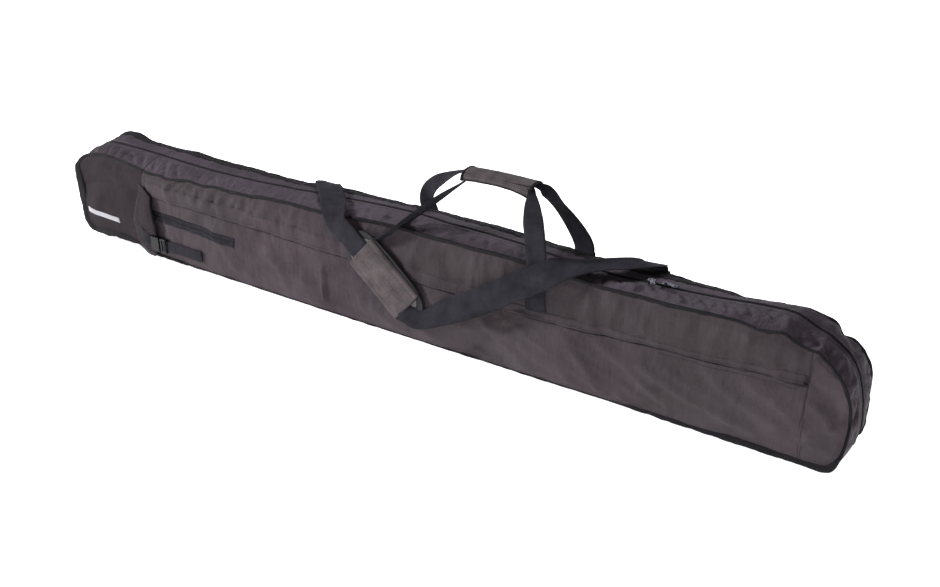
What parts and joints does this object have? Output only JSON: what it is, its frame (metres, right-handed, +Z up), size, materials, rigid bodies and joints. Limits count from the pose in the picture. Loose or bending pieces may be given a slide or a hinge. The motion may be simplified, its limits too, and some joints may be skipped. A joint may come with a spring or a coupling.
{
  "type": "ski bag",
  "caption": "Long soft-sided bag for skis, with a zip along its top, carrying handles, a padded shoulder strap and an end section that lets out.",
  "frame": {"origin": "centre of the flat base, half way along the bag's 1750 mm body", "axes": "+X along the bag towards its rounded tip, -Y towards the face with the pockets and shoulder pad, +Z up"},
  "size_m": [1.751, 0.1888, 0.3425],
  "materials": {
    "body_fabric": "tightly woven, faintly ribbed polyester, dark warm charcoal",
    "body_fabric_light": "the same cloth on the gussets, slightly bluer",
    "end_fabric": "smooth coated cloth of the end section",
    "binding": "black woven edge tape",
    "zip_tape": "black zip tape and nylon coil",
    "webbing": "dark slate polyester webbing",
    "lining": "plain inner cloth",
    "pad_rubber": "dark moulded non-slip foam rubber",
    "grip_cloth": "ribbed brown-grey grip cloth",
    "pull_metal": "satin nickel",
    "black_plastic": "satin black acetal",
    "black_metal": "black enamelled slider",
    "reflective": "plain pale reflective tape"
  },
  "bodies": {
    "bag": {"upper_panel": "body_fabric", "pocket_panel": "body_fabric", "tip_panel": "body_fabric", "back_panel": "body_fabric", "bottom_gusset": "body_fabric_light", "front_gusset": "body_fabric_light", "back_gusset": "body_fabric_light", "front_binding": "binding", "back_binding": "binding", "zip_tape_front": "zip_tape", "zip_tape_back": "zip_tape", "pocket_zip": "zip_tape", "pocket_flap": "body_fabric", "pocket_bag": "lining", "accessory_zip": "zip_tape", "accessory_bag": "lining", "extension_sleeve": "lining", "handle_legs_front": "webbing", "handle_legs_back": "webbing", "handle_loop_front": "webbing", "handle_loop_back": "webbing", "cinch_webbing": "webbing", "buckle_male": "black_plastic", "strap_end_left": "webbing", "strap_end_right": "webbing", "ring_tabs": "webbing", "snap_hook_left": "black_plastic", "snap_hook_right": "black_plastic"},
    "hook_gate_left": {"hook_gate_left": "black_plastic"},
    "hook_gate_right": {"hook_gate_right": "black_plastic"},
    "d_ring_left": {"d_ring_left": "black_plastic"},
    "d_ring_right": {"d_ring_right": "black_plastic"},
    "main_slider_left": {"main_slider_left": "pull_metal"},
    "main_pull_left": {"main_pull_left": "pull_metal"},
    "main_slider_right": {"main_slider_right": "pull_metal"},
    "main_pull_right": {"main_pull_right": "pull_metal"},
    "pocket_slider": {"pocket_slider": "black_metal", "pocket_pull": "black_metal"},
    "accessory_slider": {"accessory_slider": "black_metal"},
    "accessory_pull": {"accessory_pull": "black_metal"},
    "end_section": {"end_front_panel": "end_fabric", "end_back_panel": "end_fabric", "end_cap": "body_fabric_light", "end_gusset_front": "body_fabric_light", "end_gusset_back": "body_fabric_light", "end_binding_front": "binding", "end_binding_back": "binding", "end_zip_tapes": "zip_tape", "pleat_fold": "end_fabric", "reflective_strip": "reflective", "cinch_webbing_end": "webbing", "buckle_female": "black_plastic"},
    "buckle_arm_upper": {"buckle_arm_upper": "black_plastic"},
    "buckle_arm_lower": {"buckle_arm_lower": "black_plastic"},
    "shoulder_strap": {"shoulder_strap": "webbing"},
    "shoulder_pad": {"pad_base": "pad_rubber", "pad_cover": "grip_cloth"},
    "carry_handle": {"handle_wrap": "grip_cloth"}
  },
  "joints": [
    {"name": "length_extension", "type": "slide", "parent": "bag", "child": "end_section", "axis": [-1, 0, 0], "range_m": [0, 0.15]},
    {"name": "buckle_release", "type": "hinge", "parent": "bag", "child": "buckle_arm_upper", "pos_m": [-0.6125, -0.0745, 0.0548], "axis": [0, -1, 0], "range_deg": [0, 6], "stiffness_Nm_per_rad": 0.02},
    {"name": "buckle_release_lower", "type": "hinge", "parent": "bag", "child": "buckle_arm_lower", "pos_m": [-0.6125, -0.0745, 0.0332], "axis": [0, -1, 0], "range_deg": [-6, 0], "stiffness_Nm_per_rad": 0.02},
    {"name": "strap_swing", "type": "hinge", "parent": "bag", "child": "shoulder_strap", "pos_m": [0, 0.062, 0.223], "axis": [-1, 0, 0], "range_deg": [0, 100]},
    {"name": "pad_slide", "type": "slide", "parent": "shoulder_strap", "child": "shoulder_pad", "axis": [0.757, 0, -0.6534], "range_m": [-0.02, 0.02]},
    {"name": "main_zip_left", "type": "slide", "parent": "bag", "child": "main_slider_left", "axis": [-1, 0, 0], "range_m": [0, 1.1]},
    {"name": "main_pull_left_swing", "type": "hinge", "parent": "main_slider_left", "child": "main_pull_left", "pos_m": [0.512, 0, 0.2244], "axis": [-0.866, -0.5, 0], "range_deg": [0, 120]},
    {"name": "main_zip_right", "type": "slide", "parent": "bag", "child": "main_slider_right", "axis": [1, 0, 0], "range_m": [0, 0.2]},
    {"name": "main_pull_right_swing", "type": "hinge", "parent": "main_slider_right", "child": "main_pull_right", "pos_m": [0.538, 0, 0.2244], "axis": [-0.342, -0.9397, 0], "range_deg": [0, 120]},
    {"name": "pocket_zip_slide", "type": "slide", "parent": "bag", "child": "pocket_slider", "axis": [-1, 0, -0.0052], "range_m": [0, 1.38]},
    {"name": "accessory_zip_slide", "type": "slide", "parent": "bag", "child": "accessory_slider", "axis": [1, 0, 0], "range_m": [0, 0.22]},
    {"name": "accessory_pull_swing", "type": "hinge", "parent": "accessory_slider", "child": "accessory_pull", "pos_m": [-0.635, -0.0644, 0.1], "axis": [0, 0, -1], "range_deg": [0, 120]},
    {"name": "handle_drop", "type": "slide", "parent": "bag", "child": "carry_handle", "axis": [0, 0, -1], "range_m": [0, 0.08], "deforming": ["handle_loop_front", "handle_loop_back"]},
    {"name": "hook_gate_left_open", "type": "hinge", "parent": "bag", "child": "hook_gate_left", "pos_m": [-0.23, 0.0879, 0.1572], "axis": [-1, 0, 0], "range_deg": [0, 22], "stiffness_Nm_per_rad": 0.01, "springref_deg": -11.46},
    {"name": "hook_gate_right_open", "type": "hinge", "parent": "bag", "child": "hook_gate_right", "pos_m": [0.488, 0.0879, 0.1572], "axis": [-1, 0, 0], "range_deg": [0, 22], "stiffness_Nm_per_rad": 0.01, "springref_deg": -11.46},
    {"name": "d_ring_left_swing", "type": "hinge", "parent": "bag", "child": "d_ring_left", "pos_m": [-0.23, 0.066, 0.12], "axis": [-1, 0, 0], "range_deg": [-4, 4]},
    {"name": "d_ring_right_swing", "type": "hinge", "parent": "bag", "child": "d_ring_right", "pos_m": [0.488, 0.066, 0.12], "axis": [-1, 0, 0], "range_deg": [-4, 4]}
  ],
  "couplings": [
    {"joint": "buckle_release_lower", "follows": "buckle_release", "ratio": -1}
  ]
}
